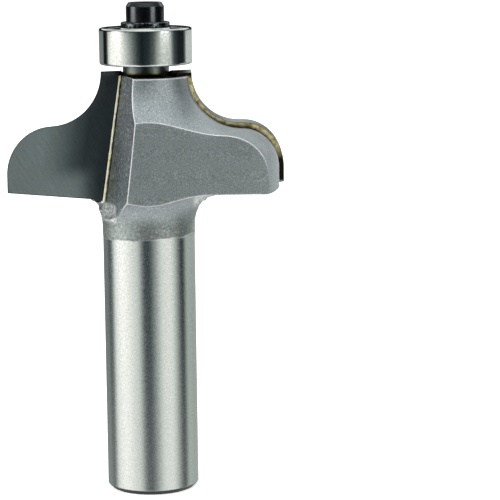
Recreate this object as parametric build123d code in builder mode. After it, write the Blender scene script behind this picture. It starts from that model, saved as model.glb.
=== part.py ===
from build123d import *
import os
from math import cos, radians, sin, sqrt, tan

os.makedirs("parts", exist_ok=True)

# A two-wing ogee router bit with a ball bearing on its nose. Sizes are millimetres and degrees.
# The frame: origin in the middle of the shank's end face, +Z up the axis to the bearing,
# the two wings along X. Seen from the bearing end the bit turns counter-clockwise,
# so the tip on the -X wing faces -Y and the tip on the +X wing faces +Y.

# Shank and neck, turned
shank_diameter = 12.7
shank_length = 35.8
shank_end_chamfer = 0.6
neck_step = 0.05
neck_length = 1.3
neck_fillet_radius = 4.85

# Guide bearing, inch size: three-sixteenths bore, half inch outside
bearing_diameter = 12.7
bearing_bore = 4.7625
bearing_width = 4.978
bearing_corner = 0.3
ball_diameter = 2.381
ball_count = 7
race_clearance = 0.03
race_depth = 0.45
race_conformity = 1.05
cage_sheet = 0.18
cage_side_gap = 0.15
cage_pocket_gap = 0.05
shield_sheet = 0.2
shield_dish = 0.15
shield_recess = 0.5
shield_seat_depth = 0.42
shield_gap = 0.2
snap_wire = 0.34
snap_gap_angle = 28

# Cutting profile, which the tips carry: hollow arc, short land, round arc, straight edge
profile_hollow_radius = 7.144
profile_land = 0.84
profile_round_radius = 6.35
profile_straight = 2.38
ogee_slope = 3.0
under_bearing = 0.13
relief_inward = 20.0
relief_downward = 8.0

# Carbide tips, brazed to the leading side of each wing
tip_thickness = 2.0
tip_lead = 20.0
tip_rake_offset = 1.52
tip_inner_reach = 3.22
tip_inner_lean = 9.1
tip_bottom_rise = 6.9
tip_heel_drop = 0.4
tip_heel_width = 0.9
braze_back = 0.12
braze_side = 0.2

# Steel wings behind the tips
wing_half_thickness = 7.95
wing_flat_lean = 3.0
wing_below_profile = 0.45
body_hollow_radius = 7.4
body_land = 0.11
body_round_radius = 5.25
body_top_inset = 0.22
body_top_drop = 0.65
body_rim_height = 0.15
edge_break = 0.2
gullet_land = 0.12
gullet_lean = 8.6
gullet_run = 16.0
gullet_far_reach = 4.52
gullet_far_lean = 2.65
gullet_corner_radius = 1.2
gullet_below_wing = 3.75
seat_mill_radius = 0.95
seat_run_out = 1.2

# Nose: shoulder, stub, washer and screw
shoulder_diameter = 6.35
shoulder_fillet_radius = 0.5
bearing_above_tip = 0.9
stub_fit = 0.01
stub_recess = 0.3
washer_diameter = 6.7
washer_thickness = 0.77
washer_clearance = 0.15
screw_diameter = 3.175
screw_fit = 0.01
screw_length = 9.5
screw_head_diameter = 5.2
screw_head_height = 2.65
screw_head_break_width = 0.34
screw_head_break_height = 0.55
screw_point_chamfer = 0.4
hex_across_flats = 2.381
hex_depth = 1.4
drill_point_angle = 59

# Worked out: the shank end upwards
shank_radius = shank_diameter / 2
neck_radius = shank_radius + neck_step
underside = shank_length + neck_length + neck_fillet_radius
profile_bottom = underside + wing_below_profile
slope_sin = sin(radians(ogee_slope))
slope_cos = cos(radians(ogee_slope))
slope_tan = tan(radians(ogee_slope))
profile_top = (
    profile_bottom
    + profile_straight
    + (profile_round_radius + profile_hollow_radius) * slope_cos
    + profile_land * slope_tan
)
body_top = profile_top - body_top_drop
shoulder_top = profile_top + bearing_above_tip
bearing_middle = shoulder_top + bearing_width / 2
bearing_top = shoulder_top + bearing_width
stub_top = bearing_top - stub_recess
gullet_bottom = underside - gullet_below_wing
washer_top = bearing_top + washer_thickness
screw_tip = washer_top - screw_length
screw_top = washer_top + screw_head_height

# Worked out: radii
bearing_radius = bearing_diameter / 2
profile_top_radius = bearing_radius - under_bearing
body_top_radius = profile_top_radius - body_top_inset
stub_radius = bearing_bore / 2 - stub_fit
shoulder_radius = shoulder_diameter / 2
far_out = 2 * bearing_radius + 2 * (profile_hollow_radius + profile_round_radius)

# Worked out: the bearing's inside
ball_radius = ball_diameter / 2
pitch_radius = (bearing_bore + bearing_diameter) / 4
groove_radius = ball_radius * race_conformity
inner_race = pitch_radius - ball_radius - race_clearance
outer_race = pitch_radius + ball_radius + race_clearance
inner_land = inner_race + race_depth
outer_land = outer_race - race_depth
shield_seat = outer_land + shield_seat_depth
shield_bottom = bearing_width / 2 - shield_recess - shield_sheet


def ogee(top_reach, top_height, hollow_radius, land, round_radius):
    """Draw the S of the cutter from its top point down and out, and return its lowest point."""
    hollow_centre = top_reach + hollow_radius
    CenterArc((hollow_centre, top_height), hollow_radius, 180, 90 - ogee_slope)
    land_start = (hollow_centre - hollow_radius * slope_sin, top_height - hollow_radius * slope_cos)
    land_end = (land_start[0] + land, land_start[1] - land * slope_tan)
    Line(land_start, land_end)
    round_centre = (land_end[0] - round_radius * slope_sin, land_end[1] - round_radius * slope_cos)
    CenterArc(round_centre, round_radius, 90 - ogee_slope, ogee_slope - 90)
    return (round_centre[0] + round_radius, round_centre[1])


def tip_plane(turn):
    """The plane of a tip's face: x runs outward, y up, and z back into the wing."""
    angle = radians(tip_lead + turn)
    outward = (-cos(angle), -sin(angle), 0)
    back = (-sin(angle), cos(angle), 0)
    on_face = (back[0] * tip_rake_offset, back[1] * tip_rake_offset, 0)
    return Plane(origin=on_face, x_dir=outward, z_dir=back)


def wing_plane(turn):
    """The plane of a wing's flat: x runs along the wing, y up, and z out of the steel."""
    sign = 1 if turn == 0 else -1
    lean = radians(wing_flat_lean)
    on_flat = (0, -sign * wing_half_thickness, underside)
    return Plane(origin=on_flat, x_dir=(sign, 0, 0), z_dir=(0, -sign * cos(lean), -sin(lean)))


def on_face_reach(radius):
    """How far out on the face plane a point lies that is this far from the axis."""
    return sqrt(radius**2 - tip_rake_offset**2)


def relief(turn):
    """The way along which a tip's edge is ground: back, and inward and down for clearance."""
    face = tip_plane(turn)
    inward = -face.x_dir * tan(radians(relief_inward))
    return face.z_dir + inward - face.y_dir * tan(radians(relief_downward))


# The cutting outline on the face plane
relief_length = sqrt(1 + tan(radians(relief_inward)) ** 2 + tan(radians(relief_downward)) ** 2)
seat_depth = tip_thickness + braze_back
profile_top_reach = on_face_reach(profile_top_radius)
profile_outer_reach = profile_top_reach + profile_land
profile_outer_reach += (profile_hollow_radius + profile_round_radius) * (1 - slope_sin)


def inner_edge(height, gap):
    """Reach of the tip's slanting inner edge at a height, moved in by a gap."""
    return tip_inner_reach + (profile_top - height) * tan(radians(tip_inner_lean)) - gap


# Height of the tip's heel, where its bottom edge meets the inner edge
heel = profile_bottom
heel -= (profile_outer_reach - inner_edge(profile_bottom, 0)) * tan(radians(tip_bottom_rise))
heel_bottom = heel - tip_heel_drop


def blank(side_gap, top):
    """Corners of the tip's blank: straight inner edge, stepped heel, bottom that rises outward."""
    corner = inner_edge(heel_bottom, side_gap)
    heel_out = inner_edge(heel_bottom, 0) + tip_heel_width
    outside = profile_outer_reach + tip_thickness
    return [
        (inner_edge(top, side_gap), top),
        (corner, heel_bottom),
        (heel_out, heel_bottom),
        (heel_out + tip_heel_drop, heel + tip_heel_drop * tan(radians(tip_bottom_rise))),
        (outside, profile_bottom + tip_thickness * tan(radians(tip_bottom_rise))),
        (outside, top),
    ]


def ground_outline():
    """Draw the cutting outline, closed well inside and below the blank."""
    end = ogee(
        profile_top_reach,
        profile_top,
        profile_hollow_radius,
        profile_land,
        profile_round_radius,
    )
    Polyline(
        end,
        (end[0], shank_length),
        (-bearing_radius, shank_length),
        (-bearing_radius, profile_top),
        (profile_top_reach, profile_top),
    )


# Cutter body: shank, neck, wings, shoulder and stub turned as one, then milled
with BuildPart() as cutter_body:
    with BuildSketch(Plane.XZ):
        with BuildLine():
            rim = ogee(
                body_top_radius,
                body_top - body_rim_height,
                body_hollow_radius,
                body_land,
                body_round_radius,
            )
            Polyline(
                rim,
                (rim[0], underside + edge_break),
                (rim[0] - edge_break, underside),
                (neck_radius + neck_fillet_radius, underside),
            )
            CenterArc(
                (neck_radius + neck_fillet_radius, underside - neck_fillet_radius),
                neck_fillet_radius,
                90,
                90,
            )
            Polyline(
                (neck_radius, underside - neck_fillet_radius),
                (neck_radius, shank_length),
                (shank_radius, shank_length),
                (shank_radius, shank_end_chamfer),
                (shank_radius - shank_end_chamfer, 0),
                (0, 0),
                (0, stub_top),
                (stub_radius - edge_break, stub_top),
                (stub_radius, stub_top - edge_break),
                (stub_radius, shoulder_top),
                (shoulder_radius, shoulder_top),
                (shoulder_radius, body_top + shoulder_fillet_radius),
            )
            CenterArc(
                (shoulder_radius + shoulder_fillet_radius, body_top + shoulder_fillet_radius),
                shoulder_fillet_radius,
                180,
                90,
            )
            Polyline(
                (shoulder_radius + shoulder_fillet_radius, body_top),
                (body_top_radius - edge_break, body_top),
                (body_top_radius, body_top - body_rim_height),
            )
        make_face()
    revolve(axis=Axis.Z)

    for turn in (0, 180):
        # The flat of a wing, down to the neck
        with BuildSketch(wing_plane(turn)):
            with Locations((0, -neck_fillet_radius)):
                Rectangle(2 * far_out, far_out, align=(Align.CENTER, Align.MIN))
        extrude(amount=far_out, mode=Mode.SUBTRACT)

        # The chip gullet ahead of a tip: its wall twists a little on its way out of the steel
        face = tip_plane(turn)
        near_reach = inner_edge(profile_top, braze_side + gullet_land)
        for plane, reach, lean in (
            (face, near_reach, gullet_lean),
            (face.offset(-gullet_run), gullet_far_reach, gullet_far_lean),
        ):
            foot_reach = reach + (profile_top - gullet_bottom) * tan(radians(lean))
            with BuildSketch(plane):
                with BuildLine():
                    Polyline(
                        (reach, profile_top),
                        (foot_reach, gullet_bottom),
                        (far_out, gullet_bottom),
                        (far_out, profile_top),
                        close=True,
                    )
                make_face()
                fillet(
                    vertices().sort_by(Axis.Y)[:2].sort_by(Axis.X)[0],
                    radius=gullet_corner_radius,
                )
        loft(ruled=True, mode=Mode.SUBTRACT)

        # The seat that a tip is brazed into
        with BuildSketch(face):
            with BuildLine():
                Polyline(blank(braze_side, profile_top), close=True)
            make_face()
        extrude(amount=seat_depth, mode=Mode.SUBTRACT)

        # Below the tip the seat's mill runs out through the neck with its round corner
        run_out_bottom = heel_bottom - seat_run_out
        run_out_height = profile_bottom - run_out_bottom
        with BuildSketch(face):
            with Locations((inner_edge(heel_bottom, braze_side), run_out_bottom)):
                Rectangle(far_out, run_out_height, align=(Align.MIN, Align.MIN))
            fillet(
                vertices().sort_by(Axis.Y)[:2].sort_by(Axis.X)[0],
                radius=seat_mill_radius,
            )
        extrude(amount=seat_depth, mode=Mode.SUBTRACT)

    # Tapped hole for the screw, with its drill point
    hole_radius = screw_diameter / 2 + screw_fit
    hole_bottom = screw_tip - screw_diameter / 2
    with BuildSketch(Plane.XZ):
        with BuildLine():
            Polyline(
                (0, stub_top),
                (hole_radius, stub_top),
                (hole_radius, hole_bottom),
                (0, hole_bottom - hole_radius / tan(radians(drill_point_angle))),
                close=True,
            )
        make_face()
    revolve(axis=Axis.Z, mode=Mode.SUBTRACT)
cutter_body.part.label = "cutter_body"
export_step(cutter_body.part, "parts/cutter_body.step")


# Carbide tips and their braze, one pair for each wing
for number, turn in ((1, 0), (2, 180)):
    with BuildPart() as carbide_tip:
        with BuildSketch(tip_plane(turn)):
            with BuildLine():
                Polyline(blank(0, profile_top), close=True)
            make_face()
        extrude(amount=tip_thickness)
        with BuildSketch(tip_plane(turn)):
            with BuildLine():
                ground_outline()
            make_face()
        extrude(amount=tip_thickness * relief_length, dir=relief(turn), mode=Mode.INTERSECT)
    name = f"carbide_tip_{number}"
    carbide_tip.part.label = name
    export_step(carbide_tip.part, f"parts/{name}.step")

    # The braze fills the seat beside the tip and covers the tip's back
    with BuildPart() as braze_seam:
        with BuildSketch(tip_plane(turn)):
            with BuildLine():
                Polyline(blank(braze_side, profile_top), close=True)
            make_face()
        extrude(amount=seat_depth)
        with BuildSketch(tip_plane(turn)):
            with BuildLine():
                Polyline(blank(0, profile_top), close=True)
            make_face()
        extrude(amount=tip_thickness, mode=Mode.SUBTRACT)
        with BuildSketch(tip_plane(turn)):
            with BuildLine():
                ground_outline()
            make_face()
        extrude(amount=seat_depth * relief_length, dir=relief(turn), mode=Mode.INTERSECT)
    name = f"braze_seam_{number}"
    braze_seam.part.label = name
    export_step(braze_seam.part, f"parts/{name}.step")


# Bearing rings, turned, with the ball groove in each
with BuildPart() as bearing_inner_ring:
    with BuildSketch(Plane.XZ):
        with Locations((bearing_bore / 2, bearing_middle)):
            Rectangle(inner_land - bearing_bore / 2, bearing_width, align=(Align.MIN, Align.CENTER))
        chamfer(vertices(), length=bearing_corner / 2)
        with Locations((inner_race + groove_radius, bearing_middle)):
            Circle(groove_radius, mode=Mode.SUBTRACT)
    revolve(axis=Axis.Z)
bearing_inner_ring.part.label = "bearing_inner_ring"
export_step(bearing_inner_ring.part, "parts/bearing_inner_ring.step")

snap_height = shield_bottom + shield_sheet + snap_wire / 2
with BuildPart() as bearing_outer_ring:
    with BuildSketch(Plane.XZ):
        with Locations((bearing_radius, bearing_middle)):
            Rectangle(bearing_radius - outer_land, bearing_width, align=(Align.MAX, Align.CENTER))
        fillet(vertices().group_by(Axis.X)[-1], radius=bearing_corner)
        with Locations((outer_race - groove_radius, bearing_middle)):
            Circle(groove_radius, mode=Mode.SUBTRACT)
        for side in (1, -1):
            with Locations((shield_seat, bearing_middle + side * shield_bottom)):
                Rectangle(
                    shield_seat_depth,
                    bearing_width,
                    align=(Align.MAX, Align.MIN if side > 0 else Align.MAX),
                    mode=Mode.SUBTRACT,
                )
            with Locations((shield_seat, bearing_middle + side * snap_height)):
                Circle(snap_wire / 2, mode=Mode.SUBTRACT)
    revolve(axis=Axis.Z)
bearing_outer_ring.part.label = "bearing_outer_ring"
export_step(bearing_outer_ring.part, "parts/bearing_outer_ring.step")


# Balls, evenly round the pitch circle
for number, place in enumerate(PolarLocations(pitch_radius, ball_count), start=1):
    with BuildPart() as bearing_ball:
        with Locations((place.position.X, place.position.Y, bearing_middle)):
            Sphere(ball_radius)
    name = f"bearing_ball_{number}"
    bearing_ball.part.label = name
    export_step(bearing_ball.part, f"parts/{name}.step")


# Cage: two pressed halves that meet on the bearing's middle plane and cup the balls
cage_inner = inner_land + cage_side_gap
cage_outer = outer_land - cage_side_gap
pocket_radius = ball_radius + cage_pocket_gap
for name, side in (("bearing_cage_upper", 1), ("bearing_cage_lower", -1)):
    with BuildPart() as bearing_cage:
        with BuildSketch(Plane.XY.offset(bearing_middle)):
            Circle(cage_outer)
            Circle(cage_inner, mode=Mode.SUBTRACT)
        extrude(amount=side * cage_sheet)
        with Locations((0, 0, bearing_middle)):
            with PolarLocations(pitch_radius, ball_count):
                Sphere(pocket_radius + cage_sheet)
            with PolarLocations(pitch_radius, ball_count):
                Sphere(pocket_radius, mode=Mode.SUBTRACT)
        with BuildSketch(Plane.XY.offset(bearing_middle)):
            Circle(cage_outer)
            Circle(cage_inner, mode=Mode.SUBTRACT)
        extrude(amount=side * bearing_width / 2, mode=Mode.INTERSECT)
    bearing_cage.part.label = name
    export_step(bearing_cage.part, f"parts/{name}.step")


# Dished shields and the snap wires that hold them in the outer ring
shield_outer = shield_seat - stub_fit
shield_inner = inner_land + shield_gap
shield_step = outer_land
for name, side in (("upper", 1), ("lower", -1)):
    with BuildPart() as bearing_shield:
        with BuildSketch(Plane.XZ):
            with BuildLine():
                low = bearing_middle + side * shield_bottom
                flat = low + side * shield_sheet
                dish = side * shield_dish
                Polyline(
                    (shield_outer, low),
                    (shield_outer, flat),
                    (shield_step, flat),
                    (shield_step - shield_dish, flat + dish),
                    (shield_inner, flat + dish),
                    (shield_inner, low + dish),
                    (shield_step - shield_dish, low + dish),
                    (shield_step, low),
                    close=True,
                )
            make_face()
        revolve(axis=Axis.Z)
    bearing_shield.part.label = f"bearing_shield_{name}"
    export_step(bearing_shield.part, f"parts/bearing_shield_{name}.step")

    with BuildPart() as shield_snap_ring:
        with BuildSketch(Plane.XZ):
            with Locations((shield_seat, bearing_middle + side * snap_height)):
                Circle(snap_wire / 2 - stub_fit)
        revolve(axis=Axis.Z, revolution_arc=360 - snap_gap_angle)
    shield_snap_ring.part.label = f"shield_snap_ring_{name}"
    export_step(shield_snap_ring.part, f"parts/shield_snap_ring_{name}.step")


# Washer that clamps the inner ring
with BuildPart() as washer:
    with BuildSketch(Plane.XY.offset(bearing_top)):
        Circle(washer_diameter / 2)
        Circle(screw_diameter / 2 + washer_clearance, mode=Mode.SUBTRACT)
    extrude(amount=washer_thickness)
    outer_edges = washer.edges().filter_by(GeomType.CIRCLE).group_by(SortBy.RADIUS)[-1]
    chamfer(outer_edges, length=washer_thickness / 6)
washer.part.label = "washer"
export_step(washer.part, "parts/washer.step")


# Socket head cap screw: head, plain shank in place of the thread, and hex socket
with BuildPart() as bearing_screw:
    with BuildSketch(Plane.XZ):
        with BuildLine():
            head_radius = screw_head_diameter / 2
            Polyline(
                (0, screw_tip),
                (screw_diameter / 2 - screw_point_chamfer, screw_tip),
                (screw_diameter / 2, screw_tip + screw_point_chamfer),
                (screw_diameter / 2, washer_top),
                (head_radius, washer_top),
                (head_radius, screw_top - screw_head_break_height),
                (head_radius - screw_head_break_width, screw_top),
                (0, screw_top),
                close=True,
            )
        make_face()
    revolve(axis=Axis.Z)
    with BuildSketch(Plane.XY.offset(screw_top)):
        RegularPolygon(hex_across_flats / 2, side_count=6, major_radius=False)
    extrude(amount=-hex_depth, mode=Mode.SUBTRACT)
bearing_screw.part.label = "bearing_screw"
export_step(bearing_screw.part, "parts/bearing_screw.step")
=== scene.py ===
# %% [markdown]
# # A router bit, dressed for its portrait
# This lesson takes a finished CAD model of a router bit and gives it the looks of the real tool:
# ground steel on the shank, blasted steel on the head, dark carbide tips, a pale line of braze,
# a bright ball bearing and a black screw. The CAD shapes are already right, so most of the work
# is in materials and light. Only the uneven braze that froze along each tip is modelled here, with
# Geometry Nodes.

from math import acos, cos, degrees, pi, radians, sin

import bpy
from mathutils import Matrix, Vector


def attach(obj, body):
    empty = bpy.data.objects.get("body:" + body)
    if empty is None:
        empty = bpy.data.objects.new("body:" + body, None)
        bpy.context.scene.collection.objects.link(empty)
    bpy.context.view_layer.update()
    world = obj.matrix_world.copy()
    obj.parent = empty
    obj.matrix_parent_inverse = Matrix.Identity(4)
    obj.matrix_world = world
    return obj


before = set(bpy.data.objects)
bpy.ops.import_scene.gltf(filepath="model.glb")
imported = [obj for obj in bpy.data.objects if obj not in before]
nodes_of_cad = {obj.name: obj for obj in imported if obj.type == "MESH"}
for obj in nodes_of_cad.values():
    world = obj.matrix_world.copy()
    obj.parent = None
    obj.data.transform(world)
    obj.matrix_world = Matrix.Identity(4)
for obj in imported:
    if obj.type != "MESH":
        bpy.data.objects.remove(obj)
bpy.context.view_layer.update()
print("CAD pieces:", len(nodes_of_cad))

# %% [markdown]
# Sizes are easier to think about in millimetres, but Blender works in metres here.
# A noise pattern repeats about once in 1 / scale metres, so one helper turns the real size
# of a grain or a scratch into the scale that the texture wants.
# Colours are written as the hex values that a paint program shows. Blender mixes light in linear
# values, so another helper converts them once, and every material uses it.

# %% Helpers for sizes and colours
MM = 0.001


def scale_for(size_mm):
    """Texture scale at which one feature of the pattern is this many millimetres."""
    return 1 / (size_mm * MM)


def colour(hex_code):
    """Turn an sRGB hex colour into the linear colour that a shader wants."""
    parts = [int(hex_code[i:i + 2], 16) / 255 for i in (1, 3, 5)]
    linear = [c / 12.92 if c <= 0.04045 else ((c + 0.055) / 1.055) ** 2.4 for c in parts]
    return (*linear, 1.0)


print("mid grey #808080 is", round(colour("#808080")[0], 3), "in linear light")

# %% [markdown]
# A material is a small network of nodes. One helper adds any node: it sets the node's own settings
# and then its inputs. An input is a plain value, or another node, whose output is linked to it.
# Some nodes have several sockets of one name and show only those that their settings call for, so
# the helper takes the first socket of that name that is switched on.

# %% One helper for every node


def add(tree, kind, inputs=None, **settings):
    """Add a node with its settings and its inputs."""
    node = tree.nodes.new(kind)
    for key, value in settings.items():
        setattr(node, key, value)
    for key, value in (inputs or {}).items():
        same_name = [socket for socket in node.inputs if socket.enabled and socket.name == key]
        socket = same_name[0] if same_name else node.inputs[key]
        if isinstance(value, bpy.types.Node):
            value = next(output for output in value.outputs if output.enabled)
        if isinstance(value, bpy.types.NodeSocket):
            tree.links.new(value, socket)
        else:
            socket.default_value = value
    return node


def new_material(name):
    """An empty node material, and its tree to fill."""
    material = bpy.data.materials.new(name)
    material.use_nodes = True
    material.node_tree.nodes.clear()
    return material, material.node_tree


# %% [markdown]
# A few kinds of node are needed again and again: arithmetic, noise with features of some size, ramps
# that turn a number into a colour, one finish laid over another, and the shader at the end. Each
# gets a short helper of its own, which makes the networks below read like recipes.

# %% Helpers for the commonest nodes
NOISE_LOW, NOISE_HIGH = 0.3, 0.7


def maths(tree, operation, *values):
    """Arithmetic on one, two or three values, which fill the node's inputs in that order."""
    return add(tree, "ShaderNodeMath", dict(enumerate(values)), operation=operation)


def noise_of(tree, place, size_mm, detail, **more):
    """Noise whose features are this many millimetres long. More inputs go by their names."""
    inputs = {"Vector": place, "Scale": scale_for(size_mm), "Detail": detail, **more}
    return add(tree, "ShaderNodeTexNoise", inputs)


def stretched(tree, noise, low, high):
    """Noise rarely leaves the middle of its range. This lets it run from one value to another."""
    ends = {"From Min": NOISE_LOW, "From Max": NOISE_HIGH, "To Min": low, "To Max": high}
    return add(tree, "ShaderNodeMapRange", {"Value": noise, **ends})


def ramp(tree, value, stops):
    """Colours for the numbers from 0 to 1. Each stop is a number and its colour."""
    node = add(tree, "ShaderNodeValToRGB", {"Fac": value})
    elements = node.color_ramp.elements
    while len(elements) < len(stops):
        elements.new(0.5)
    for element, (position, hex_code) in zip(elements, stops):
        element.position = position
        element.color = colour(hex_code)
    return node


def blend(tree, mask, below, above, kind="RGBA"):
    """What lies above where the mask is 1, and what lies below where it is 0: colours or numbers."""
    return add(tree, "ShaderNodeMix", {"Factor": mask, "A": below, "B": above}, data_type=kind)


def surface(tree, inputs):
    """End a material's network in a Principled shader with these inputs."""
    shader = add(tree, "ShaderNodeBsdfPrincipled", inputs)
    add(tree, "ShaderNodeOutputMaterial", {"Surface": shader})


print("most noise lies between", NOISE_LOW, "and", NOISE_HIGH)

# %% [markdown]
# ## The edge of a hard part
# No machined edge is perfectly sharp. A tiny round runs along it and throws back a line of light,
# and blasting and handling wear it brighter than the faces beside it.
# The CAD edges are sharp, so the material stands in for that round: a Bevel node bends the normal
# near an edge, and where the bent normal differs from the true one there is an edge. That
# difference makes a mask for a brighter or darker finish. The likeness of the two normals is the
# cosine of the angle between them, so a small bend still counts as face.

# %% Find the edges of a piece
FACE_LIKENESS = 0.985
EDGE_LIKENESS = 0.90


def find_edges(tree, bent):
    """A mask that is 1 on the edges, where a bevel has bent the normal, and 0 on the faces."""
    true = add(tree, "ShaderNodeNewGeometry").outputs["Normal"]
    likeness = add(tree, "ShaderNodeVectorMath", {0: bent, 1: true}, operation="DOT_PRODUCT")
    return add(
        tree,
        "ShaderNodeMapRange",
        {"Value": likeness, "From Min": FACE_LIKENESS, "From Max": EDGE_LIKENESS},
        interpolation_type="SMOOTHSTEP",
    )


print("the mask of edges rises at bends of", round(degrees(acos(FACE_LIKENESS))), "degrees")
print("and is full at", round(degrees(acos(EDGE_LIKENESS))), "degrees")

# %% [markdown]
# ## Finding one's way on the cutter
# Many finishes begin or end somewhere on a piece: above the neck, near the seam, inside a pocket.
# A zone is boxed in by slopes. Each slope rises from 0 to 1 between two distances, and the mask of
# the zone is their product.
# Other finishes follow the two tips. Their faces stand 20 degrees round from the X axis, and each
# lies 1.52 mm behind the bit's own axis, which gives the cutting edges their rake. The second tip
# is the first after half a turn, so a length along a direction, taken without its sign, serves
# both tips at once.

# %% Zones, and directions of the tips
TIP_LEAD = radians(20)
TIP_OFFSET = 1.52 * MM
ALONG_FACE = (cos(TIP_LEAD), sin(TIP_LEAD), 0)
ACROSS_FACE = (sin(TIP_LEAD), -cos(TIP_LEAD), 0)


def zone(tree, *slopes, shape="LINEAR"):
    """A mask for a zone. Each slope is a distance and the millimetres where it is 0 and 1."""
    masks = []
    for distance, foot, full in slopes:
        ends = {"From Min": foot * MM, "From Max": full * MM}
        masks.append(
            add(tree, "ShaderNodeMapRange", {"Value": distance, **ends}, interpolation_type=shape)
        )
    product = masks[0]
    for mask in masks[1:]:
        product = maths(tree, "MULTIPLY", product, mask)
    return product


def length_along(tree, vector, direction):
    """How much of a vector lies along a direction, whichever of its two ways it points."""
    along = add(tree, "ShaderNodeVectorMath", {0: vector, 1: direction}, operation="DOT_PRODUCT")
    return maths(tree, "ABSOLUTE", along)


print("along the tips' faces:", [round(part, 3) for part in ALONG_FACE])

# %% [markdown]
# ## The cutter's body: one bar of alloy steel, two finishes
# The body is turned and milled from one bar. The head and neck are bead blasted after brazing, and
# the shank is then ground between wheels to fit the collet. The two finishes meet in a slightly
# wavy, slightly tilted line just under the neck, where the grinding stops. Both live in one
# material, because they are one piece of steel: the height on the piece picks which one shows. A
# tilt and a little noise are added to the height first, so the line leans and wanders.
# The chamfer and the end of the shank get painted shade, a dark grey, and a rougher finish.

# %% Where the steel's finishes meet
GRIND_STOP_MM = 36.15
GRIND_TILT = 0.06
GRIND_WAVE_MM = 0.8
GRIND_BLUR_MM = 0.07
END_CHAMFER_MM = 0.62

body_steel, tree = new_material("alloy_steel_blasted_and_ground")
coordinates = add(tree, "ShaderNodeTexCoord")
place = coordinates.outputs["Object"]
xyz = add(tree, "ShaderNodeSeparateXYZ", {"Vector": place}).outputs
height = xyz["Z"]
from_middle = maths(tree, "ABSOLUTE", xyz["X"])

tilted = maths(tree, "MULTIPLY_ADD", xyz["X"], -GRIND_TILT, height)
waves = noise_of(tree, place, 2.0, 3.0)
wavy = maths(tree, "MULTIPLY_ADD", waves, GRIND_WAVE_MM * MM, tilted)
on_head = zone(
    tree, (wavy, GRIND_STOP_MM - GRIND_BLUR_MM, GRIND_STOP_MM + GRIND_BLUR_MM), shape="SMOOTHSTEP"
)
shaded_end = zone(tree, (height, END_CHAMFER_MM + 0.12, END_CHAMFER_MM - 0.05), shape="SMOOTHSTEP")
print("grinding stops about", round(GRIND_STOP_MM - GRIND_WAVE_MM / 2, 2), "mm up the shank")

# %% [markdown]
# Bead blasting hammers the head with fine glass beads and leaves an even grey grain. The real
# dimples are about a twentieth of a millimetre, too fine for the picture, so the grain is drawn at
# about a sixth. A little of a much broader noise makes the grey cloudy. The foot of the neck is
# coarser and a little darker, because the nozzle reaches it at a low angle.

# %% Blasted steel
GRAIN_MM = 0.17
CLOUD_SHARE = 0.15
PIT_MM = 0.34

grain = noise_of(tree, place, GRAIN_MM, 3.0)
cloud = noise_of(tree, place, 3.5, 2.0)
most_grain = maths(tree, "MULTIPLY", grain, 1 - CLOUD_SHARE)
mottle = maths(tree, "MULTIPLY_ADD", cloud, CLOUD_SHARE, most_grain)
blasted = ramp(tree, mottle, [(0.32, "#8f9799"), (0.5, "#afb6b8"), (0.62, "#c4cacc"), (0.7, "#e2e6e7")])
pits = noise_of(tree, place, PIT_MM, 4.0, Roughness=0.7)
coarse = ramp(tree, pits, [(0.34, "#7a807b"), (0.5, "#9ca29d"), (0.6, "#bbc1bb"), (0.68, "#e6e9e5")])
at_foot = add(
    tree,
    "ShaderNodeMapRange",
    {"Value": height, "From Min": 38.6 * MM, "From Max": 37.4 * MM, "To Max": 0.7},
)
with_foot = blend(tree, at_foot, blasted, coarse)
print("blasted grain", GRAIN_MM, "mm, coarser pits", PIT_MM, "mm")

# %% [markdown]
# The edges of the head are pale, partly from wear and partly from a painted highlight. Their mask
# is kept above the neck, and faded out where the real edges stay dull: at the wings' outer ends,
# low down, and along the seam between steel and carbide. There burnt flux leaves a thin dark line
# instead. The seam lies in the plane of the tip's face, so the distance from that plane finds it.
# Both tips have their faces behind the axis, on opposite sides of it, and the sign of the reach
# along the face turns one side into the other.

# %% Pale edges, worn and with a painted highlight, and the line of flux along the seam
WEAR_AND_HIGHLIGHT_STARTS_MM = 39.0

bent = add(tree, "ShaderNodeBevel", {"Radius": 0.3 * MM}, samples=6)
any_edge = find_edges(tree, bent)

along_face = add(tree, "ShaderNodeVectorMath", {0: place, 1: ALONG_FACE}, operation="DOT_PRODUCT")
across_face = add(tree, "ShaderNodeVectorMath", {0: place, 1: ACROSS_FACE}, operation="DOT_PRODUCT")
side = maths(tree, "SIGN", along_face)
behind_axis = maths(tree, "MULTIPLY", across_face, side)
from_face = maths(tree, "SUBTRACT", behind_axis, TIP_OFFSET)
from_face = maths(tree, "ABSOLUTE", from_face)

above_end = zone(tree, (height, 44.5, 47.5))
inner_part = zone(tree, (from_middle, 15.5, 14.5))
kept_edge = maths(tree, "MAXIMUM", above_end, inner_part)
worn_and_lit_zone = zone(tree, (height, WEAR_AND_HIGHLIGHT_STARTS_MM, 40.4), (from_face, 0.3, 0.45))
edge = maths(tree, "MULTIPLY", any_edge, worn_and_lit_zone)
edge = maths(tree, "MULTIPLY", edge, kept_edge)

seam_zone = zone(tree, (from_face, 0.3, 0.12), (height, 40.4, 40.8))
flux_line = maths(tree, "MULTIPLY", seam_zone, any_edge)
print("edges are worn above", WEAR_AND_HIGHLIGHT_STARTS_MM, "mm")

# %% [markdown]
# Below the heel of each tip lies the small pocket that the mill ran out into when it cut the tip's
# seat. It keeps the arcs of the mill's end, and its colour, up to pure white, is partly a painted
# highlight, brighter than the blasted neck round it. The arcs are rings round a centre: PINGPONG
# folds the distance from the centre into even waves, and noise makes them uneven. The corner
# between the neck and the wing is milled too, and shows the noise alone, as chatter, in the same
# partly painted pale colours.

# %% The mill's pocket
ARC_CENTRE_OUT = 5.7 * MM
ARC_CENTRE_UP = 39.8 * MM
ARC_SPACING = 0.24 * MM
ARC_UNEVENNESS = 1.1 * MM

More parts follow.
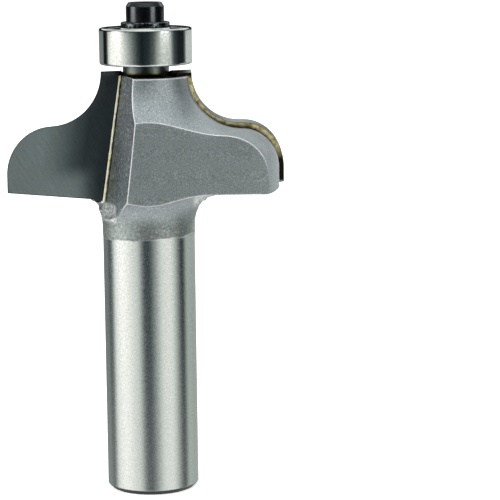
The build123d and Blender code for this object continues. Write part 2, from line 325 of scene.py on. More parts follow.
in_corner = zone(tree, (height, 39.2, 40.2), (height, 41.9, 41.7), (from_middle, 5.9, 6.5))
below_heel = zone(
    tree, (height, 40.4, 40.1), (from_middle, 4.3, 4.6), (behind_axis, 2.6, 1.8), (height, 37.8, 38.1)
)
in_pocket = maths(tree, "MAXIMUM", below_heel, in_corner)

chatter = noise_of(tree, place, 0.5, 2.0, Distortion=1.0)
from_centre = add(
    tree,
    "ShaderNodeCombineXYZ",
    {
        "X": maths(tree, "SUBTRACT", from_middle, ARC_CENTRE_OUT),
        "Z": maths(tree, "SUBTRACT", height, ARC_CENTRE_UP),
    },
)
round_centre = add(tree, "ShaderNodeVectorMath", {0: from_centre}, operation="LENGTH")
uneven = maths(tree, "MULTIPLY_ADD", chatter, ARC_UNEVENNESS, round_centre)
arcs = maths(tree, "PINGPONG", uneven, ARC_SPACING)
arcs = add(
    tree,
    "ShaderNodeMapRange",
    {"Value": arcs, "From Max": ARC_SPACING, "To Min": 0.34, "To Max": 0.66},
)
arcs = blend(tree, in_corner, arcs, chatter, "FLOAT")
milled_and_highlit = ramp(tree, arcs, [(0.35, "#a9b0af"), (0.5, "#f0f3f1"), (0.62, "#ffffff")])
print("arcs from light to dark in", round(ARC_SPACING / MM, 2), "mm")

# %% [markdown]
# The walls of the gullets, where the chips run, keep rougher, darker milled steel with bright
# specks. They look along the wings and lie near the axis, so the way a surface faces and its
# distance tell them from the rest.

# %% The gullet walls
WALL_FACING = (0.97, 0.25, 0.0)
WALL_REACH_MM = 9.0

squareness = length_along(tree, coordinates.outputs["Normal"], WALL_FACING)
like_wall = add(tree, "ShaderNodeMapRange", {"Value": squareness, "From Min": 0.93, "From Max": 0.96})
reach = maths(tree, "ABSOLUTE", along_face)
near_axis = zone(tree, (reach, WALL_REACH_MM, WALL_REACH_MM - 1), (height, 38.2, 38.6))
on_wall = maths(tree, "MULTIPLY", like_wall, near_axis)
wall = ramp(tree, pits, [(0.34, "#656d70"), (0.5, "#979fa2"), (0.6, "#b4bbbf"), (0.66, "#f6f8f8")])
print("gullet walls reach", WALL_REACH_MM, "mm out")

# %% [markdown]
# The shoulder under the bearing is only turned. Its foot lies in the bearing's shade and is painted
# nearly black, and above it a painted olive-brown reflection fades out. Bare steel shows above.
# The shank is ground. That leaves it bright, with scratches too fine for the picture, so a speckle
# of about a fifth of a millimetre stands for them and softens what the steel reflects.

# %% The shoulder's painted shade and the ground shank
FOOT_SHADE_STARTS_MM = 57.6
FOOT_SHADE_ENDS_MM = 58.9

foot_shade = zone(tree, (height, FOOT_SHADE_STARTS_MM, FOOT_SHADE_ENDS_MM))
shaded_shoulder = ramp(tree, foot_shade, [
    (0.0, "#2a2b30"), (0.08, "#2c2d2e"), (0.18, "#54532f"),
    (0.4, "#7e7b54"), (0.6, "#737b7e"), (1.0, "#6c7577"),
])
on_shoulder = zone(tree, (height, 57.58, 57.64))

speckle = noise_of(tree, place, 0.22, 3.0)
ground = ramp(tree, speckle, [(0.3, "#dfe2e0"), (0.5, "#eceeec"), (0.7, "#f7f8f6")])
print("oil thins out over", round(FOOT_SHADE_ENDS_MM - FOOT_SHADE_STARTS_MM, 1), "mm")

# %% [markdown]
# The finishes are laid over each other like coats of paint: each Mix shows the next one where its
# mask is 1. Roughness follows the same masks. The pale edge is smoother than the grain beside it,
# and less metallic, so that its painted highlight stays pale whatever it reflects. Bump makes
# shallow dimples of the grain, a fiftieth of a millimetre deep at most.

# %% Put the steel's finishes together
coats = [
    (on_wall, wall),
    # the pocket: real mill arcs in colours that are partly a painted highlight
    (in_pocket, milled_and_highlit),
    # pale edges: partly wear, partly a painted highlight
    (edge, colour("#ffffff")),
    (flux_line, colour("#26231b")),
    # painted shade at the shoulder's foot and a painted olive reflection above it
    (on_shoulder, shaded_shoulder),
]
head = with_foot
for where, coat in coats:
    head = blend(tree, where, head, coat)
both = blend(tree, on_head, ground, head)
# painted shade: the chamfer and the end of the shank are tinted dark grey
tint = blend(tree, shaded_end, both, colour("#3b3d3d"))

rough_edge = add(tree, "ShaderNodeMapRange", {"Value": edge, "To Min": 0.5, "To Max": 0.34})
rough_head = blend(tree, on_shoulder, rough_edge, 0.28, "FLOAT")
rough_shank = stretched(tree, speckle, 0.15, 0.24)
rough_both = blend(tree, on_head, rough_shank, rough_head, "FLOAT")
rough = blend(tree, shaded_end, rough_both, 0.5, "FLOAT")
metal = add(tree, "ShaderNodeMapRange", {"Value": edge, "To Min": 1.0, "To Max": 0.12})
relief = blend(tree, on_head, speckle, grain, "FLOAT")
depth = blend(tree, on_head, 0.2, 0.5, "FLOAT")
bump = add(
    tree,
    "ShaderNodeBump",
    {"Height": relief, "Distance": 0.02 * MM, "Strength": depth, "Normal": bent},
)
surface(tree, {"Base Color": tint, "Metallic": metal, "Roughness": rough, "Normal": bump})
print("made", body_steel.name, "with", len(coats), "coats on the blasted head")

# %% [markdown]
# ## The carbide tips
# Tungsten carbide is powder pressed and sintered with cobalt. A darker belt lies a few millimetres
# from the seam, partly the heat tint of brazing and partly a painted dark reflection, and low on
# the face, clear of the seam, the colour is a lighter grey. So the colour follows the distance from
# the seam. The seam leans: the lower it is, the further out it lies.

# %% Stains and a painted reflection on the tips' faces
SEAM_SLOPE = 0.16
SEAM_AT_ZERO = 12.56 * MM
STAIN_WIDTH_MM = 12

carbide, tree = new_material("tungsten_carbide_ground")
coordinates = add(tree, "ShaderNodeTexCoord")
place = coordinates.outputs["Object"]
height = add(tree, "ShaderNodeSeparateXYZ", {"Vector": place}).outputs["Z"]
reach = length_along(tree, place, ALONG_FACE)
seam = maths(tree, "MULTIPLY_ADD", height, -SEAM_SLOPE, SEAM_AT_ZERO)
from_seam = maths(tree, "SUBTRACT", reach, seam)
far = zone(tree, (from_seam, 0, STAIN_WIDTH_MM))
# heat tint and a painted dark reflection in one ramp
stain_and_reflection = ramp(tree, far, [
    (0.0, "#586164"), (0.16, "#50595c"), (0.29, "#3e4649"),
    (0.43, "#4a5356"), (0.6, "#646e6f"), (0.8, "#7a8586"),
])
pale = zone(tree, (height, 46.0, 43.0), (from_seam, 0.5, 4.5), shape="SMOOTHSTEP")
face = blend(tree, pale, stain_and_reflection, colour("#7a8485"))
print("heat stains reach", STAIN_WIDTH_MM, "mm from the seam")

# %% [markdown]
# The flat faces are lapped on a diamond wheel in straight strokes, which show as faint slanting
# lines. A Mapping node stretches noise into strokes. They slant the same way on both faces, so
# they are drawn over the distance from the axis. Another noise adds the grain of the powder. Both
# are far finer in reality, and are drawn coarse enough to show. Together they make the stains a
# little lighter or darker.

# %% Lapping strokes
STROKE_SLANT = radians(-60)
STROKE_LENGTH_MM = 3.0
STROKE_FLATTENING = 0.06

mirrored = add(tree, "ShaderNodeCombineXYZ", {"X": reach, "Z": height})
slanted = add(
    tree,
    "ShaderNodeMapping",
    {"Vector": mirrored, "Rotation": (0, STROKE_SLANT, 0), "Scale": (1, 1, STROKE_FLATTENING)},
    vector_type="TEXTURE",
)
strokes = noise_of(tree, slanted, STROKE_LENGTH_MM, 5.0, Roughness=0.6)
powder = noise_of(tree, place, 0.3, 2.0)
mottle = maths(tree, "MULTIPLY_ADD", powder, 0.4, strokes)
shade = add(
    tree,
    "ShaderNodeMapRange",
    {"Value": mottle, "From Min": 0.5, "From Max": 0.9, "To Min": 0.84, "To Max": 1.16},
)
face = add(tree, "ShaderNodeVectorMath", {0: face, "Scale": shade}, operation="SCALE")
print("strokes", STROKE_LENGTH_MM, "mm long,", round(STROKE_LENGTH_MM * STROKE_FLATTENING, 2), "mm wide")

# %% [markdown]
# The relief behind the cutting edge is ground last, so it is as bright as steel. Which of the two
# a point belongs to is read from the way its surface faces. The rim of the face gets a painted dark
# reflection, nearly black, and far out it darkens the relief's side of the edge too.

# %% Put the carbide's finishes together
flatness = length_along(tree, coordinates.outputs["Normal"], ACROSS_FACE)
on_face = add(tree, "ShaderNodeMapRange", {"Value": flatness, "From Min": 0.97, "From Max": 0.99})
tint = blend(tree, on_face, colour("#b0b6b4"), face)
bent = add(tree, "ShaderNodeBevel", {"Radius": 0.3 * MM}, samples=6)
edge = find_edges(tree, bent)
far_out = add(
    tree,
    "ShaderNodeMapRange",
    {"Value": reach, "From Min": 13 * MM, "From Max": 16 * MM, "To Max": 0.8},
)
dark_edge_reflection = maths(tree, "MAXIMUM", on_face, far_out)
dark_edge_reflection = maths(tree, "MULTIPLY", edge, dark_edge_reflection)
# a painted dark reflection along the tips' edges
tint = blend(tree, dark_edge_reflection, tint, colour("#141718"))
rough = stretched(tree, strokes, 0.32, 0.44)
bump = add(tree, "ShaderNodeBump", {"Height": strokes, "Distance": 0.004 * MM, "Strength": 0.25})
surface(tree, {"Base Color": tint, "Metallic": 1.0, "Roughness": rough, "Normal": bump})
print("made", carbide.name)

# %% [markdown]
# ## The braze
# The tips are held by silver braze, an alloy of silver, copper and zinc that is melted into the
# joint with a flux. It cools to a pale gold. Where it was pressed out behind a tip it is a thin
# ochre skin, stained brown by burnt flux, with a nearly black line along its borders and black
# scale at its two ends. Below the wing, grinding the tip's underside has cleaned it off.
# The borders come from three masks: surfaces that don't face as the tips do, corners where other
# pieces crowd in, which Ambient Occlusion finds and where the black is partly burnt flux and partly
# painted shade, and edges.

# %% Silver braze with flux stains
braze_skin, tree = new_material("silver_braze_flux_stained")
coordinates = add(tree, "ShaderNodeTexCoord")
place = coordinates.outputs["Object"]
height = add(tree, "ShaderNodeSeparateXYZ", {"Vector": place}).outputs["Z"]
blots = noise_of(tree, place, 0.8, 4.0)
gold = ramp(tree, blots, [(0.3, "#7f6e42"), (0.45, "#b5a873"), (0.6, "#d8d0aa"), (0.75, "#a3935f")])

flatness = length_along(tree, coordinates.outputs["Normal"], ACROSS_FACE)
on_rim = add(tree, "ShaderNodeMapRange", {"Value": flatness, "From Min": 0.98, "From Max": 0.95})
crowded = add(tree, "ShaderNodeAmbientOcclusion", {"Distance": 1.0 * MM}, samples=8).outputs["AO"]
corner_flux_and_shade = add(tree, "ShaderNodeMapRange", {"Value": crowded, "From Min": 0.84, "From Max": 0.70})
bent = add(tree, "ShaderNodeBevel", {"Radius": 0.15 * MM}, samples=6)
border = find_edges(tree, bent)
scale_low = zone(tree, (height, 48.0, 45.5))
scale_high = zone(tree, (height, 57.0, 57.7))
flux_and_shade = on_rim
for mask in (corner_flux_and_shade, border, scale_low, scale_high):
    flux_and_shade = maths(tree, "MAXIMUM", flux_and_shade, mask)

# black borders: burnt flux, with painted shade in the crowded corners
skin = blend(tree, flux_and_shade, gold, colour("#1c1a12"))
ground_off = zone(tree, (height, 42.6, 42.2))
tint = blend(tree, ground_off, skin, colour("#aab1b0"))
rough = stretched(tree, blots, 0.5, 0.35)
lumps = noise_of(tree, place, 0.5, 2.0)
bump = add(tree, "ShaderNodeBump", {"Height": lumps, "Distance": 0.05 * MM, "Strength": 0.5})
surface(tree, {"Base Color": tint, "Metallic": 1.0, "Roughness": rough, "Normal": bump})
print("made", braze_skin.name)

# %% [markdown]
# The bead that stands beside the face is thicker, cleaner and paler. It catches light from every
# side, so its near-white cream is partly its own pale gold and partly a painted highlight: it is
# made mostly like a pale enamel, with only a little metal in it, and it stays pale whatever it
# reflects.

# %% Clean silver braze of the bead
braze_bright, tree = new_material("silver_braze_clean")
place = add(tree, "ShaderNodeTexCoord").outputs["Object"]
blots = noise_of(tree, place, 0.9, 3.0)
cream_and_highlight = ramp(tree, blots, [(0.26, "#d2b968"), (0.38, "#fdf2bf"), (0.6, "#fffbe2"), (0.8, "#f6e6a0")])
rough = stretched(tree, blots, 0.45, 0.3)
bump = add(tree, "ShaderNodeBump", {"Height": blots, "Distance": 0.04 * MM, "Strength": 0.4})
# the bead's colour: pale gold with a painted highlight
surface(tree, {"Base Color": cream_and_highlight, "Metallic": 0.12, "Roughness": rough, "Normal": bump})
print("made", braze_bright.name)

# %% [markdown]
# ## The bearing, washer and screw
# Bearing rings are hardened chrome steel, ground and then honed until they nearly mirror; the balls
# are lapped to a true mirror. Shields and cage are pressed from thin strip. They lie in the
# bearing's shade, so their colour is painted nearly black, and a dark specular tint takes the
# shine that bare metal has at low angles. The washer is stamped and faced, and its grain runs
# from nearly black to grey. One recipe with a few values covers these bright steels. Their real
# grain is too fine for the picture, so it is drawn at a third to half a millimetre. The outer
# ring's recess, in front of the shield, lies in shade too, so the recipe can paint shade on
# whatever lies nearer the axis than some radius.

# %% Bright steels


def bright_steel(
    name, dark, light, roughness, grain_mm, bump_mm, glancing="#ffffff", shaded_within_mm=0.0
):
    """Steel whose grain makes it a little darker or lighter, smoother or rougher."""
    material, tree = new_material(name)
    place = add(tree, "ShaderNodeTexCoord").outputs["Object"]
    grain = noise_of(tree, place, grain_mm, 3.0)
    tint = ramp(tree, grain, [(0.35, dark), (0.65, light)])
    if shaded_within_mm:
        level = add(tree, "ShaderNodeVectorMath", {0: place, 1: (1, 1, 0)}, operation="MULTIPLY")
        from_axis = add(tree, "ShaderNodeVectorMath", {0: level}, operation="LENGTH").outputs["Value"]
        # painted shade in the outer ring's recess, nearer the axis than the given radius
        recess_shade = zone(tree, (from_axis, shaded_within_mm + 0.08, shaded_within_mm))
        tint = blend(tree, recess_shade, tint, colour("#121416"))
    rough = stretched(tree, grain, *roughness)
    bent = add(tree, "ShaderNodeBevel", {"Radius": 0.1 * MM}, samples=4)
    bump = add(
        tree,
        "ShaderNodeBump",
        {"Height": grain, "Distance": bump_mm * MM, "Strength": 0.4, "Normal": bent},
    )
    surface(tree, {
        "Base Color": tint,
        "Metallic": 1.0,
        "Roughness": rough,
        "Specular Tint": colour(glancing),
        "Normal": bump,
    })
    return material


RING = ("#e6e9e7", "#f8f9f6", (0.07, 0.09), 0.3, 0.002)
ring_steel = bright_steel("bearing_steel_honed", *RING)
rim_steel = bright_steel("bearing_steel_honed_shaded_inside", *RING, shaded_within_mm=5.6)
ball_steel = bright_steel("bearing_steel_lapped", "#eceded", "#f8f8f8", (0.03, 0.06), 0.4, 0.001)
# the shields and cage: painted shade and a dark specular tint
sheet_steel = bright_steel("steel_sheet_painted_dark", "#15181a", "#26292b", (0.2, 0.3), 0.5, 0.006, "#1a1a1a")
# the washer: a grain from nearly black to grey
washer_steel = bright_steel("steel_washer_dark_speckled", "#0e1112", "#7c8385", (0.12, 0.26), 0.45, 0.04)
wire_steel = bright_steel("spring_wire_drawn", "#8f9294", "#b3b6b7", (0.25, 0.38), 0.3, 0.004)
print("made", [m.name for m in (ring_steel, rim_steel, ball_steel, sheet_steel, washer_steel, wire_steel)])

# %% [markdown]
# The screw is alloy steel, blackened in a hot salt bath and oiled: almost black, with a sharp wet
# sheen and a bluish grey where its edges have worn. The film of oil is a clear coat on the shader,
# and the etched grain under it is drawn coarse enough to show.

# %% Black oxide
black_oxide, tree = new_material("black_oxide_oiled")
place = add(tree, "ShaderNodeTexCoord").outputs["Object"]
grain = noise_of(tree, place, 0.35, 4.0)
black = ramp(tree, grain, [(0.3, "#1b1f22"), (0.7, "#2f3438")])
bent = add(tree, "ShaderNodeBevel", {"Radius": 0.16 * MM}, samples=6)
edge = find_edges(tree, bent)
tint = blend(tree, edge, black, colour("#4d555b"))
rough = stretched(tree, grain, 0.1, 0.17)
bump = add(tree, "ShaderNodeBump", {"Height": grain, "Distance": 0.02 * MM, "Strength": 0.35, "Normal": bent})
surface(tree, {
    "Base Color": tint,
    "Metallic": 0.9,
    "Roughness": rough,
    "Normal": bump,
    "Coat Weight": 1.0,
    "Coat Roughness": 0.12,
})
print("made", black_oxide.name)

# %% [markdown]
# ## Each piece gets its finish
# The CAD pieces keep their shapes. Only the material in each one's slots changes, so this is a
# simple table from the start of a piece's name to its finish.

# %% Assign the materials
FINISH = {
    "cutter_body": body_steel,
    "carbide_tip": carbide,
    "braze_seam": braze_skin,
    "bearing_inner_ring": ring_steel,
    "bearing_outer_ring": rim_steel,
    "bearing_ball": ball_steel,
    "bearing_cage": sheet_steel,
    "bearing_shield": sheet_steel,
    "shield_snap_ring": wire_steel,
    "washer": washer_steel,
    "bearing_screw": black_oxide,
}
for name, piece in nodes_of_cad.items():
    finish = next(m for start, m in FINISH.items() if name.startswith(start))
    for slot in piece.material_slots:
        slot.material = finish
print("finished", len(nodes_of_cad), "pieces")

# %% [markdown]
# ## The bead of braze beside each tip
# When the tip is pressed into its seat, molten braze is squeezed out along the seam and freezes as
# a thin bead. It follows the seam from the top of the wing to the tip's heel, bends outward under
# the heel, and is nowhere quite the same width, because it was liquid.
# Something that follows a path is a job for Geometry Nodes: the tree turns a path into a curve,
# takes many small steps along it, pushes each step a little sideways and changes its thickness by
# noise, and sweeps a circle along the result. Every run of braze comes from this one tree, with a
# path and a seed of its own.

# %% The tree that lays a bead along a path
bead_tree = bpy.data.node_groups.new("braze_bead", "GeometryNodeTree")
bead_inputs = {}
for label, kind in (
    ("Path", "NodeSocketGeometry"),
    ("Radius", "NodeSocketFloat"),
    ("Step", "NodeSocketFloat"),
    ("Lump Size", "NodeSocketFloat"),
    ("Wander", "NodeSocketFloat"),
    ("Seed", "NodeSocketFloat"),
    ("Braze", "NodeSocketMaterial"),
):
    socket = bead_tree.interface.new_socket(label, in_out="INPUT", socket_type=kind)
    bead_inputs[label] = socket.identifier
bead_tree.interface.new_socket("Bead", in_out="OUTPUT", socket_type="NodeSocketGeometry")

given = add(bead_tree, "NodeGroupInput").outputs
path_curve = add(bead_tree, "GeometryNodeMeshToCurve", {"Mesh": given["Path"]})
steps = add(
    bead_tree, "GeometryNodeResampleCurve", {"Curve": path_curve, "Length": given["Step"]}, mode="LENGTH"
)
here = add(bead_tree, "GeometryNodeInputPosition")
noise_scale = maths(bead_tree, "DIVIDE", 1.0, given["Lump Size"])
noise = add(
    bead_tree,
    "ShaderNodeTexNoise",
    {"Vector": here, "W": given["Seed"], "Scale": noise_scale, "Detail": 2.0},
    noise_dimensions="4D",
)
centred = add(
    bead_tree,
    "ShaderNodeVectorMath",
    {0: noise.outputs["Color"], 1: (0.5, 0.5, 0.5)},
    operation="SUBTRACT",
)
sideways = add(bead_tree, "ShaderNodeVectorMath", {0: centred, "Scale": given["Wander"]}, operation="SCALE")
wandering = add(bead_tree, "GeometryNodeSetPosition", {"Geometry": steps, "Offset": sideways})
swelling = stretched(bead_tree, noise.outputs[0], 0.65, 1.35)
thickness = maths(bead_tree, "MULTIPLY", swelling, given["Radius"])
section = add(bead_tree, "GeometryNodeCurvePrimitiveCircle", {"Resolution": 12, "Radius": 1.0})
swept = add(
    bead_tree,
    "GeometryNodeCurveToMesh",
    {"Curve": wandering, "Profile Curve": section, "Scale": thickness, "Fill Caps": True},
)
smooth = add(bead_tree, "GeometryNodeSetShadeSmooth", {"Geometry": swept})
real = add(bead_tree, "GeometryNodeRealizeInstances", {"Geometry": smooth})
painted = add(bead_tree, "GeometryNodeSetMaterial", {"Geometry": real, "Material": given["Braze"]})
add(bead_tree, "NodeGroupOutput", {"Bead": painted})
print("bead tree with inputs", list(bead_inputs))

# %% [markdown]
# The path runs in the plane of the tip's face. A point of that plane is its reach outward from the
# axis and its height, and one function turns the two into a place in space, for either tip.
# Another function hands such points to the tree as a path, turns what the tree makes into a plain
# mesh, and lets that ride on the cutter.

# %% Helpers for a run of braze
BRAZE_STEP = 0.12 * MM
BRAZE_LUMP = 0.9 * MM
BRAZE_WANDER = 0.12 * MM


def on_tip_face(turn_degrees, reach, height, ahead):
    """A point a little ahead of the plane of a tip's face, or behind it where ahead is negative."""
    angle = TIP_LEAD + radians(turn_degrees)
    outward = Vector((-cos(angle), -sin(angle), 0))
    back = Vector((-sin(angle), cos(angle), 0))
    return back * (TIP_OFFSET - ahead) + outward * reach + Vector((0, 0, height))


def lay_braze(name, points, radius_mm, seed, braze):
    """Sweep a run of braze along some points and let it ride on the cutter."""
    path_mesh = bpy.data.meshes.new(name + "_path")
    path_mesh.from_pydata(points, [(i, i + 1) for i in range(len(points) - 1)], [])
    path = bpy.data.objects.new(name + "_path", path_mesh)
    bpy.context.scene.collection.objects.link(path)
    run = path.modifiers.new("bead", "NODES")
    run.node_group = bead_tree
    for label, value in {
        "Radius": radius_mm * MM,
        "Step": BRAZE_STEP,
        "Lump Size": BRAZE_LUMP,
        "Wander": BRAZE_WANDER,
        "Seed": seed,
        "Braze": braze,
    }.items():
        run[bead_inputs[label]] = value
    bpy.context.view_layer.update()
    depsgraph = bpy.context.evaluated_depsgraph_get()
    mesh = bpy.data.meshes.new_from_object(path.evaluated_get(depsgraph))
    path.modifiers.clear()
    bpy.data.objects.remove(path)
    mesh.name = name
    piece = bpy.data.objects.new(name, mesh)
    bpy.context.scene.collection.objects.link(piece)
    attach(piece, "cutter")
    print(name, len(mesh.polygons), "faces, material", [m.name for m in mesh.materials])


print("on a tip's face, in mm:", [round(part / MM, 2) for part in on_tip_face(0, 9 * MM, 50 * MM, 0)])

# %% [markdown]
# The seam leans: it reaches 3.22 mm out at the top of the tip and 0.16 mm more for every
# millimetre down. The path stays 0.1 mm inside it, in the middle of the braze, and ends with a
# short bend outward along the heel.
# A second run of braze, short and burnt black, lies on top of the body and closes the notch between
# the shoulder and the inner side of the tip. The same tree lays it along another path.

# %% Lay the beads
BEAD_TOP = 57.6 * MM
HEEL = 40.45 * MM
BEAD_PARTS = 12
BEAD_RADIUS_MM = 0.15
INSIDE_SEAM = 0.1 * MM
PROUD_OF_FACE = 0.03 * MM
HEEL_BEND_MM = ((0.15, -0.1), (0.4, -0.12))
NOTCH_REACH = 2.98 * MM
NOTCH_HEIGHT = 57.93 * MM
NOTCH_RADIUS_MM = 0.27
NOTCH_BACK_MM = (0.1, 0.7, 1.3, 1.8)

for number, turn_degrees in ((1, 0), (2, 180)):
    places = []
    for part in range(BEAD_PARTS + 1):
        height = BEAD_TOP + (HEEL - BEAD_TOP) * part / BEAD_PARTS
        places.append((SEAM_AT_ZERO - SEAM_SLOPE * height - INSIDE_SEAM, height))
    foot_reach, foot_height = places[-1]
    for out_mm, up_mm in HEEL_BEND_MM:
        places.append((foot_reach + out_mm * MM, foot_height + up_mm * MM))
    seam_path = [on_tip_face(turn_degrees, reach, height, PROUD_OF_FACE) for reach, height in places]
    lay_braze(f"braze_bead_{number}", seam_path, BEAD_RADIUS_MM, float(number), braze_bright)
    notch_path = [
        on_tip_face(turn_degrees, NOTCH_REACH, NOTCH_HEIGHT, -back_mm * MM) for back_mm in NOTCH_BACK_MM
    ]
    lay_braze(f"braze_in_notch_{number}", notch_path, NOTCH_RADIUS_MM, number + 4.0, braze_skin)

# %% [markdown]
# ## The studio: a floor of white paper
# The tool stands on a sheet of white paper, far wider than the picture. It takes strong lamps to
# make paper pure white in a photograph, and they would bleach the steel. So the paper glows as
# well, but only for rays from the camera and those that come by way of gloss or glass: Light Path
# tells the material which ray asks. Any other ray meets plain paper, so the glow doesn't light the
# tool, and the floor keeps the tool's soft shadow. Reflections miss the floor altogether, because
# the wall of cards round the tool has a row for it.

# %% Floor
FLOOR_HALF = 1.6


def seeing_rays(tree):
    """A mask that is 1 for rays from the camera and those that come by way of gloss or glass."""
    path = add(tree, "ShaderNodeLightPath").outputs
    sees = path["Is Camera Ray"]
    for kind in ("Is Glossy Ray", "Is Transmission Ray"):
        sees = maths(tree, "MAXIMUM", sees, path[kind])
    return sees


floor_mesh = bpy.data.meshes.new("floor")
floor_corners = [(FLOOR_HALF * x, FLOOR_HALF * y, 0) for x, y in ((-1, -1), (1, -1), (1, 1), (-1, 1))]
floor_mesh.from_pydata(floor_corners, [], [(0, 1, 2, 3)])
floor = bpy.data.objects.new("floor", floor_mesh)
bpy.context.scene.collection.objects.link(floor)
floor_paper, tree = new_material("white_paper")
sees = seeing_rays(tree)
paper = add(tree, "ShaderNodeBsdfDiffuse", {"Color": colour("#f4f4f4")})
glow = add(tree, "ShaderNodeEmission", {"Color": colour("#ffffff"), "Strength": 0.5})
lit = add(tree, "ShaderNodeAddShader", {0: paper, 1: glow})
shown = add(tree, "ShaderNodeMixShader", {"Fac": sees, 1: paper, 2: lit})
add(tree, "ShaderNodeOutputMaterial", {"Surface": shown})
floor_mesh.materials.append(floor_paper)
floor.visible_glossy = False
print("floor", 2 * FLOOR_HALF, "m wide")

# %% [markdown]
# ## The studio: a wall of cards
# A polished cylinder shows almost nothing of its own: it shows the room. So the room matters as
# much as the steel. Photographers stand white and black cards round a shiny tool to give it bright
# and dark bands, and so does this scene: one wall of cards stands all round, seen only by
# reflections. Its brightness changes with the direction. In the lists below each card has the
# angle at which it stands, in degrees from the camera's side and growing to the right.
# A camera that looks a little down sees each part of an upright tool reflect its own height of the
# wall, so the wall has rows: one for the shank, one for the bearing, a dark one with bright strips
# for the black screw, and a high one that lights whatever leans back. The lowest row is white like
# a table top, with a few dark strips, and lights the underside of the wings and the neck.

# %% The cards of each row
SHANK_CARDS = [
    (-180, "#7c8582"), (-155, "#6f7876"), (-128, "#6c7573"), (-122, "#454d4e"), (-112, "#3f4748"),
    (-104, "#8e9692"), (-98, "#d5dad4"), (-88, "#eef0ec"), (-72, "#fdfdf8"), (-58, "#f6f7f2"),
    (-44, "#dfe3de"), (-30, "#cdd2cd"), (-22, "#8f9694"), (-15, "#3e4648"), (-3, "#2e3638"),
    (3, "#4c5456"), (12, "#878f8e"), (20, "#b4bab6"), (30, "#dde1dc"), (52, "#e6e9e4"),
    (62, "#c6ccc7"), (70, "#9aa19e"), (78, "#5a6162"), (86, "#1e2426"), (92, "#262c2e"),
    (99, "#8b938f"), (106, "#a8b0ac"), (130, "#98a19d"), (180, "#98a19c"),
]
BEARING_CARDS = [
    (-180, "#7f8784"), (-130, "#757d7b"), (-125, "#161b1c"), (-115, "#0c0f10"), (-109, "#4a5150"),
    (-103, "#e0e3de"), (-92, "#fffef6"), (-66, "#fffef6"), (-58, "#e6e8e4"), (-48, "#c0c5c1"),
    (-40, "#9ba19e"), (-30, "#656c6b"), (-20, "#343c3d"), (-10, "#181f21"), (8, "#2a3133"),
    (20, "#565e5e"), (29, "#9da49f"), (38, "#b9bfba"), (50, "#bcc2bd"), (62, "#b9bfba"),
    (68, "#767d7b"), (74, "#3c4445"), (88, "#1a2022"), (106, "#181d1f"), (113, "#5c6462"), (119, "#bec5c2"),
    (150, "#b4bbb8"), (180, "#b4bbb8"),
]
SCREW_CARDS = [
    (-180, "#0c0f11"), (-98, "#0c0f11"), (-90, "#c4ccd1"), (-82, "#ffffff"), (-68, "#ffffff"),
    (-60, "#8e979c"), (-52, "#0c0f11"), (32, "#0c0f11"), (40, "#ffffff"), (56, "#ffffff"),
    (64, "#5c6468"), (72, "#0c0f11"), (180, "#0c0f11"),
]
HIGH_CARDS = [
    (-180, "#f0f3f3"), (-150, "#e4e8e8"), (-120, "#8d9496"), (-40, "#a0a7a8"), (80, "#a0a7a8"),
    (100, "#7e8587"), (118, "#7e8587"), (130, "#e8ecec"), (180, "#f0f3f3"),
]
TABLE_CARDS = [
    (-180, "#eef0ef"), (-135, "#eef0ef"), (-122, "#3c4445"), (-112, "#3c4445"), (-100, "#ffffff"),
    (-22, "#ffffff"), (-10, "#c8cdcc"), (6, "#c8cdcc"), (20, "#ffffff"), (76, "#ffffff"),
    (86, "#3c4445"), (94, "#3c4445"), (106, "#ffffff"), (180, "#eef0ef"),
]
CEILING = "#d8dddd"
ROWS = (SHANK_CARDS, BEARING_CARDS, SCREW_CARDS, HIGH_CARDS, TABLE_CARDS)
print("cards in each row:", [len(cards) for cards in ROWS])

# %% [markdown]
# The wall is an open tube of many flat sides. Its paint turns the direction round the tool into a
# place on each row's ramp, and the height picks the row. One row melts into the next, so that no
# hard line crosses the steel. The foot of the shank's row is a little hazy. The strip that the
# screw reflects is far brighter than the rest, because black oxide gives back so little of it.

# %% Wall of cards
WALL_SIDES = 96
WALL_RADIUS = 0.22
WALL_HALF_HEIGHT = 0.9

corner_count = 2 * WALL_SIDES
angles = [2 * pi * side / WALL_SIDES for side in range(WALL_SIDES)]
wall_mesh = bpy.data.meshes.new("card_wall")
wall_mesh.from_pydata(
    [
        (WALL_RADIUS * cos(angle), WALL_RADIUS * sin(angle), z)
        for angle in angles
        for z in (-WALL_HALF_HEIGHT, WALL_HALF_HEIGHT)
    ],
    [],
    [(i, i + 1, (i + 3) % corner_count, (i + 2) % corner_count) for i in range(0, corner_count, 2)],
)
wall = bpy.data.objects.new("card_wall", wall_mesh)
bpy.context.scene.collection.objects.link(wall)
card_paint, tree = new_material("studio_cards")
place = add(tree, "ShaderNodeTexCoord").outputs["Object"]
xyz = add(tree, "ShaderNodeSeparateXYZ", {"Vector": place}).outputs
height = xyz["Z"]
minus_y = maths(tree, "MULTIPLY", xyz["Y"], -1.0)
turn = maths(tree, "ARCTAN2", xyz["X"], minus_y)
turn = add(tree, "ShaderNodeMapRange", {"Value": turn, "From Min": -pi, "From Max": pi})
shank_row, bearing_row, screw_row, high_row, table_row = [
    ramp(tree, turn, [((angle + 180) / 360, c) for angle, c in cards])
    for cards in ROWS
]

card = shank_row
for next_row, low_mm, high_mm in (
    (bearing_row, 33, 41),
    (screw_row, 51.6, 52.9),
    (high_row, 125, 150),
    (colour(CEILING), 300, 400),
):
    share = zone(tree, (height, low_mm, high_mm))
    card = blend(tree, share, card, next_row)
haze = add(
    tree, "ShaderNodeMapRange", {"Value": height, "From Min": -15 * MM, "From Max": -60 * MM, "To Max": 0.14}
)
card = blend(tree, haze, card, colour("#d8dcd8"))
table = zone(tree, (height, -125, -135))
card = blend(tree, table, card, table_row)

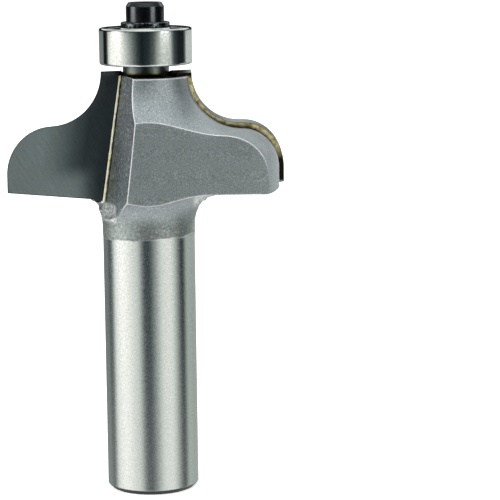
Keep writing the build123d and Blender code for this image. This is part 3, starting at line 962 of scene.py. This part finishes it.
strip = zone(tree, (height, 54, 55), (height, 63, 60))
power = add(tree, "ShaderNodeMapRange", {"Value": strip, "To Min": 1.05, "To Max": 5.6})
glow = add(tree, "ShaderNodeEmission", {"Color": card, "Strength": power})
add(tree, "ShaderNodeOutputMaterial", {"Surface": glow})
wall_mesh.materials.append(card_paint)
wall.visible_camera = False
wall.visible_diffuse = False
wall.visible_shadow = False
wall.visible_transmission = False
print("card wall", 2 * WALL_RADIUS, "m across")

# %% [markdown]
# ## The studio: a white room and four soft lamps
# The world outside the wall is white. The camera and every reflection see it at full strength, and
# it lights the tool more softly, with the faint blue of a bright room.
# The lamps are large, because a large lamp gives light and shadow soft edges. One stands to the
# left, one to the right and higher, and one high up behind the tool. The smallest stands low
# behind it and lights its rim. All of them aim at the middle of the tool.

# %% World and lamps
LAMP_AIM = Vector((0, 0, 40 * MM))
LAMP_DISTANCE = 0.9

world = bpy.data.worlds.new("studio_white")
bpy.context.scene.world = world
world.use_nodes = True
tree = world.node_tree
tree.nodes.clear()
sees = seeing_rays(tree)
soft = add(tree, "ShaderNodeBackground", {"Color": colour("#f5f7f8"), "Strength": 0.72})
white = add(tree, "ShaderNodeBackground", {"Color": colour("#ffffff"), "Strength": 1.0})
shown = add(tree, "ShaderNodeMixShader", {"Fac": sees, 1: soft, 2: white})
add(tree, "ShaderNodeOutputWorld", {"Surface": shown})


def soft_lamp(name, azimuth, elevation, width, height, watts):
    """A rectangular lamp that aims at the middle of the tool."""
    a, e = radians(azimuth), radians(elevation)
    away = Vector((sin(a) * cos(e), -cos(a) * cos(e), sin(e)))
    light = bpy.data.lights.new(name, "AREA")
    light.shape = "RECTANGLE"
    light.size = width
    light.size_y = height
    light.energy = watts
    lamp = bpy.data.objects.new(name, light)
    lamp.rotation_mode = "QUATERNION"
    lamp.location = LAMP_AIM + away * LAMP_DISTANCE
    lamp.rotation_quaternion = (-away).to_track_quat("-Z", "Y")
    bpy.context.scene.collection.objects.link(lamp)
    return lamp


lamps = [
    soft_lamp("left_softbox", -80, 20, 0.5, 0.8, 6.0),
    soft_lamp("right_softbox", 34, 40, 0.6, 0.6, 3.2),
    soft_lamp("top_softbox", 165, 60, 0.8, 0.8, 2.0),
    soft_lamp("rim_softbox", 140, 6, 0.3, 0.3, 2.4),
]
print("lamps:", [lamp.name for lamp in lamps])

# %% [markdown]
# ## The camera
# The camera looks down on the tool a little, through a long lens, which keeps the tool's sides
# almost parallel. Its place, its three angles and its lens come from fitting the outline of the
# CAD model to the tool in the picture. A camera looks along its own -Z with its own Y upwards, so
# the matrix is built from three directions: to its right, above it and backwards.

# %% Camera
CAMERA_BACK = 293.78 * MM
CAMERA_HEIGHT = 80.84 * MM
CAMERA_YAW = radians(2.723)
CAMERA_PITCH = radians(9.212)
CAMERA_ROLL = radians(-0.631)
LENS_MM = 154.34
SENSOR_MM = 36.0

forward = Vector((
    sin(CAMERA_YAW) * cos(CAMERA_PITCH),
    cos(CAMERA_YAW) * cos(CAMERA_PITCH),
    -sin(CAMERA_PITCH),
))
level = forward.cross(Vector((0, 0, 1))).normalized()
upward = level.cross(forward)
right = level * cos(CAMERA_ROLL) + upward * sin(CAMERA_ROLL)
above = upward * cos(CAMERA_ROLL) - level * sin(CAMERA_ROLL)
lens = bpy.data.cameras.new("camera")
lens.lens = LENS_MM
lens.sensor_width = SENSOR_MM
lens.clip_start = 0.01
lens.clip_end = 20.0
camera = bpy.data.objects.new("camera", lens)
camera.matrix_world = Matrix((
    (right.x, above.x, -forward.x, 0.0),
    (right.y, above.y, -forward.y, -CAMERA_BACK),
    (right.z, above.z, -forward.z, CAMERA_HEIGHT),
    (0, 0, 0, 1),
))
bpy.context.scene.collection.objects.link(camera)
bpy.context.scene.camera = camera
bpy.context.scene.view_settings.view_transform = "Standard"
print("camera", [round(part / MM, 1) for part in camera.matrix_world.translation], "mm")
